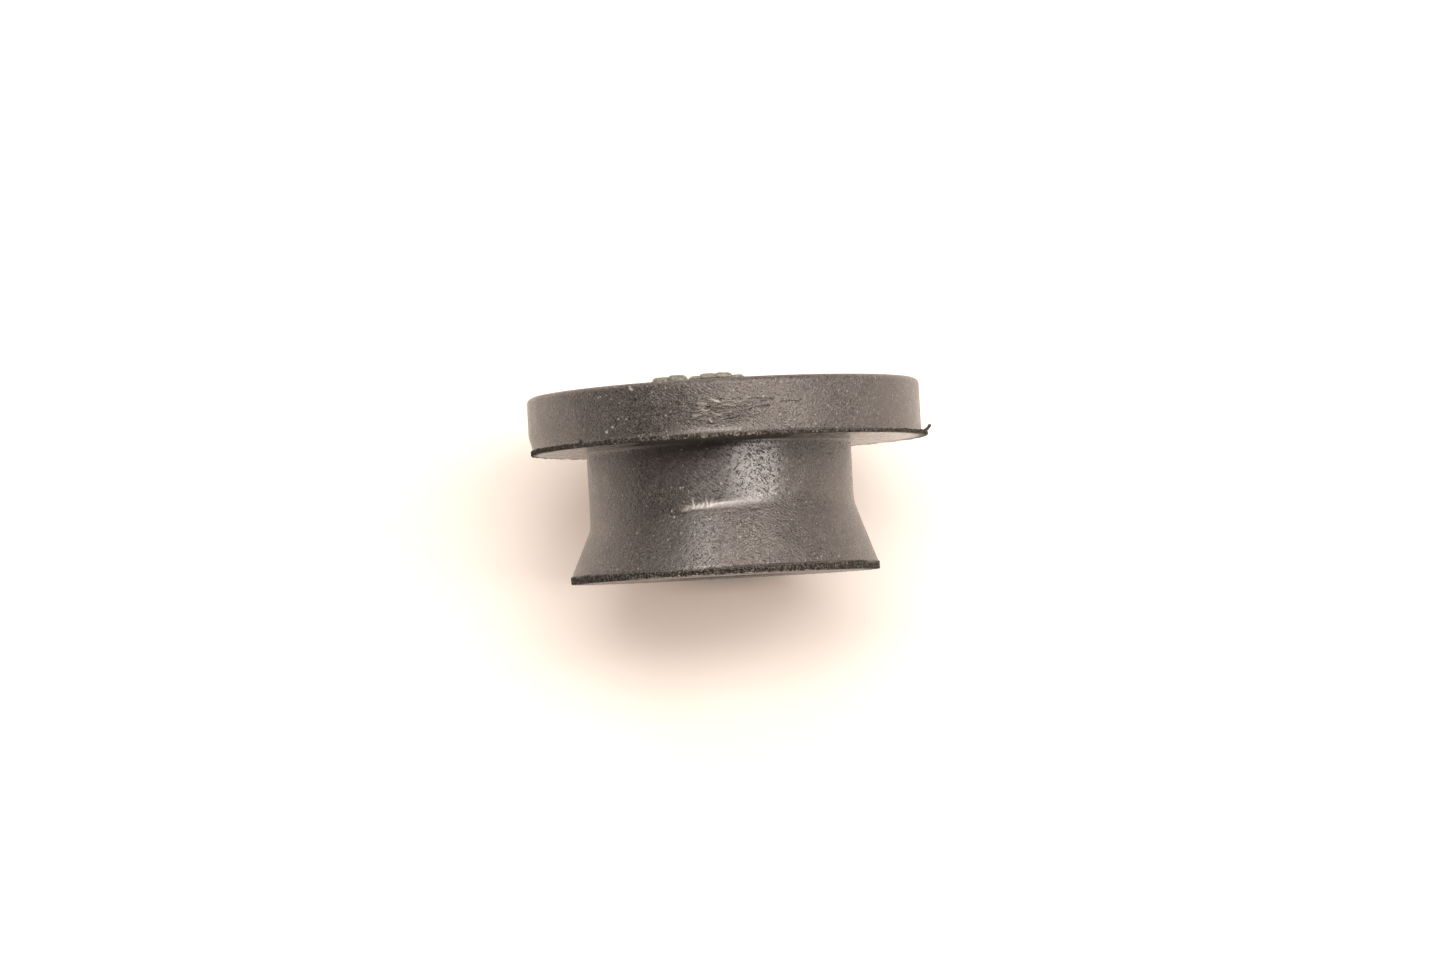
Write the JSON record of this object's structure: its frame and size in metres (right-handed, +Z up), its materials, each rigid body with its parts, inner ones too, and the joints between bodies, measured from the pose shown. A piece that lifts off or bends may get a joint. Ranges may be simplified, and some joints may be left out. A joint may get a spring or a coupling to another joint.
{
  "type": "rubber damper",
  "caption": "One-piece moulded rubber spool with a round flange, a straight neck, a flared foot and a through bore, which cushions a panel on its fixing.",
  "frame": {"origin": "centre of the bore in the flared end face, on which the damper stands", "axes": "+Z up the bore, from the flared end towards the flange; +X towards the side where the off-centre flange reaches furthest"},
  "size_m": [0.0245, 0.0244, 0.0115],
  "materials": {
    "rubber": "satin, lightly dusty and grained"
  },
  "bodies": {
    "root": {"damper": "rubber"}
  },
  "joints": []
}
